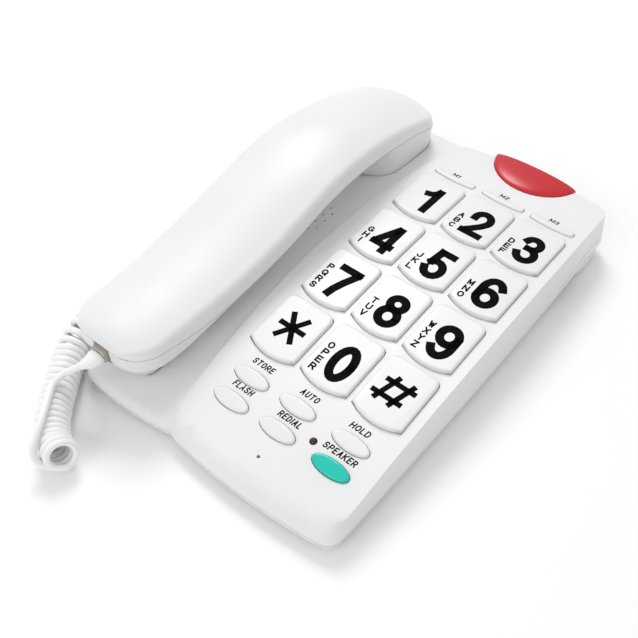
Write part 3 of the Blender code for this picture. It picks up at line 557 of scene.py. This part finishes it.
def split_at_corners(points):
    """The stroke cut wherever it turns sharply, so that each corner gets square ends."""
    pieces, piece = [], [points[0]]
    for before, point, after in zip(points, points[1:], points[2:]):
        piece.append(point)
        if (point - before).angle(after - point, 0.0) > CORNER_ANGLE:
            pieces.append(piece)
            piece = [point]
    return pieces + [piece + [points[-1]]]


def strip_sides(stroke, width):
    """Both edges of a strip along a stroke, with mitred bends."""
    points = [point.copy() for point in stroke]
    closed = (points[0] - points[-1]).length < 1e-6
    if closed:
        points = points[:-1]
    else:
        points[0] += (points[0] - points[1]).normalized() * width / 2
        points[-1] += (points[-1] - points[-2]).normalized() * width / 2
    left, right = [], []
    count = len(points)
    for k, point in enumerate(points):
        before = point - points[k - 1] if k or closed else points[1] - point
        after = points[(k + 1) % count] - point if k < count - 1 or closed else before
        first = Vector((-before.y, before.x)).normalized()
        second = Vector((-after.y, after.x)).normalized()
        middle = (first + second).normalized()
        reach = width / 2 / max(middle.dot(first), MITRE_LIMIT)
        left.append(point + middle * reach)
        right.append(point - middle * reach)
    if closed:
        left.append(left[0])
        right.append(right[0])
    return left, right


def add_strip(bm, left, right, place):
    """A thin solid between the two edges, from just under the surface to just over it."""
    rows = [[bm.verts.new(place(p.x, p.y, height)) for p in edge]
            for height, edge in ((INK_HEIGHT, left), (INK_HEIGHT, right),
                                 (-INK_HEIGHT, right), (-INK_HEIGHT, left))]
    for one, other in zip(rows, rows[1:] + rows[:1]):
        for k in range(len(one) - 1):
            bm.faces.new((one[k], one[k + 1], other[k + 1], other[k]))
    for end in (0, -1):
        bm.faces.new([row[end] for row in rows])


def add_glyph(bm, letter, centre, size, stroke, place, slant=0.0):
    """One letter, size being its outer width and height around its centre."""
    width, height = size[0] - stroke, size[1] - stroke
    for line in GLYPHS[letter]:
        points = []
        for x, y in line:
            y = (y - 0.5) * height
            points.append(Vector((centre[0] + (x - 0.5) * width + slant * y, centre[1] + y)))
        for piece in split_at_corners(points):
            add_strip(bm, *strip_sides(piece, stroke), place)


def finish_print(bm, name, body):
    bmesh.ops.remove_doubles(bm, verts=bm.verts, dist=INK_WELD * MM)
    obj = dress(finish_mesh(name, bm), "ink")
    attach(obj, body)


def key_plane(node):
    """Maps millimetres on a key's flat top to the frame, from the key's centre."""
    body = BODY_OF[node]
    press = next(Vector(j["axis"]) for j in frame["joints"] if j["child"] == body)
    normal = -press.normalized()
    ahead = normal.cross(Vector((1, 0, 0)))
    low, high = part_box(node)
    centre = (low + high) / 2
    top = max(v.co.dot(normal) for v in NODES[node].data.vertices)
    origin = centre + normal * (top - centre.dot(normal))
    return lambda x, y, z: origin + (Vector((1, 0, 0)) * x + ahead * y + normal * z) * MM


def print_keys():
    for node in NODES:
        if not node.startswith("key_"):
            continue
        digit = node.removeprefix("key_")
        sign, centre, size, stroke = SIGNS.get(digit, (digit, DIGIT_SHIFT, DIGIT_SIZE, DIGIT_STROKE))
        place = key_plane(node)
        bm = bmesh.new()
        add_glyph(bm, sign, centre, size, stroke, place)
        letters = KEY_LETTERS.get(sign, "")
        lowest = DIGIT_SHIFT[1] - DIGIT_SIZE[1] / 2 + LETTER_HEIGHT / 2
        for k, letter in enumerate(reversed(letters)):
            add_glyph(bm, letter, (LETTER_X, lowest + LETTER_PITCH * k),
                      (LETTER_WIDTH, LETTER_HEIGHT), LETTER_STROKE, place)
        finish_print(bm, "print_" + node, BODY_OF[node])


def on_panel():
    """Maps millimetres across the base to the casing's upper surface."""
    surface = bmesh.new()
    surface.from_mesh(NODES["base_housing"].data)
    tree = BVHTree.FromBMesh(surface)
    surface.free()

    def place(x, y, z):
        above = Vector((x * MM, y * MM, 0.1))
        hit = tree.ray_cast(above, Vector((0, 0, -1)))[0]
        return hit + Vector((0, 0, z * MM))
    return place


def print_labels():
    place = on_panel()
    bm = bmesh.new()
    for node, (label, right, ahead, length) in BUTTON_LABELS.items():
        low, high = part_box(node)
        x = (low.x + high.x) / 2 / MM + right - length / 2
        y = (low.y + high.y) / 2 / MM + ahead
        widths = [LETTER_SHARES.get(letter, 1.0) for letter in label]
        unit = (length - LABEL_GAP * (len(label) - 1)) / sum(widths)
        height = LABEL_HEIGHT if len(label) > 2 else MEMORY_LABEL_HEIGHT
        for letter, width in zip(label, widths):
            add_glyph(bm, letter, (x + unit * width / 2, y + height / 2),
                      (unit * width, height), LABEL_STROKE * height / LABEL_HEIGHT, place,
                      LABEL_SLANT)
            x += unit * width + LABEL_GAP
    finish_print(bm, "panel_labels", "base")


# Stage and light

def add_stage():
    bpy.ops.mesh.primitive_plane_add(size=8.0, location=(0, 0, -0.0002))
    floor = bpy.context.object
    floor.name = "floor"
    made = new_material("floor_white", (0.93, 0.93, 0.935), 0.6)
    vary_colour(made, noise(made, 3, 2.0), (0.925, 0.925, 0.93), (0.94, 0.94, 0.945))
    floor.data.materials.append(made)


def add_area_light(name, place, size, power):
    light = bpy.data.lights.new(name, "AREA")
    light.shape = "DISK"
    light.size = size
    light.energy = power
    obj = bpy.data.objects.new(name, light)
    obj.location = place
    towards = Vector(LIGHT_TARGET) - Vector(place)
    obj.rotation_euler = towards.to_track_quat("-Z", "Y").to_euler()
    bpy.context.scene.collection.objects.link(obj)


def add_lights():
    world = bpy.data.worlds.new("studio")
    bpy.context.scene.world = world
    world.use_nodes = True
    world.node_tree.nodes["Background"].inputs["Color"].default_value = SKY_COLOUR
    world.node_tree.nodes["Background"].inputs["Strength"].default_value = SKY_STRENGTH
    for light in LIGHTS:
        add_area_light(*light)


add_camera()
add_cord()
dress_all_nodes()
print_keys()
print_labels()
add_stage()
add_lights()
bpy.context.scene.view_settings.view_transform = "Standard"
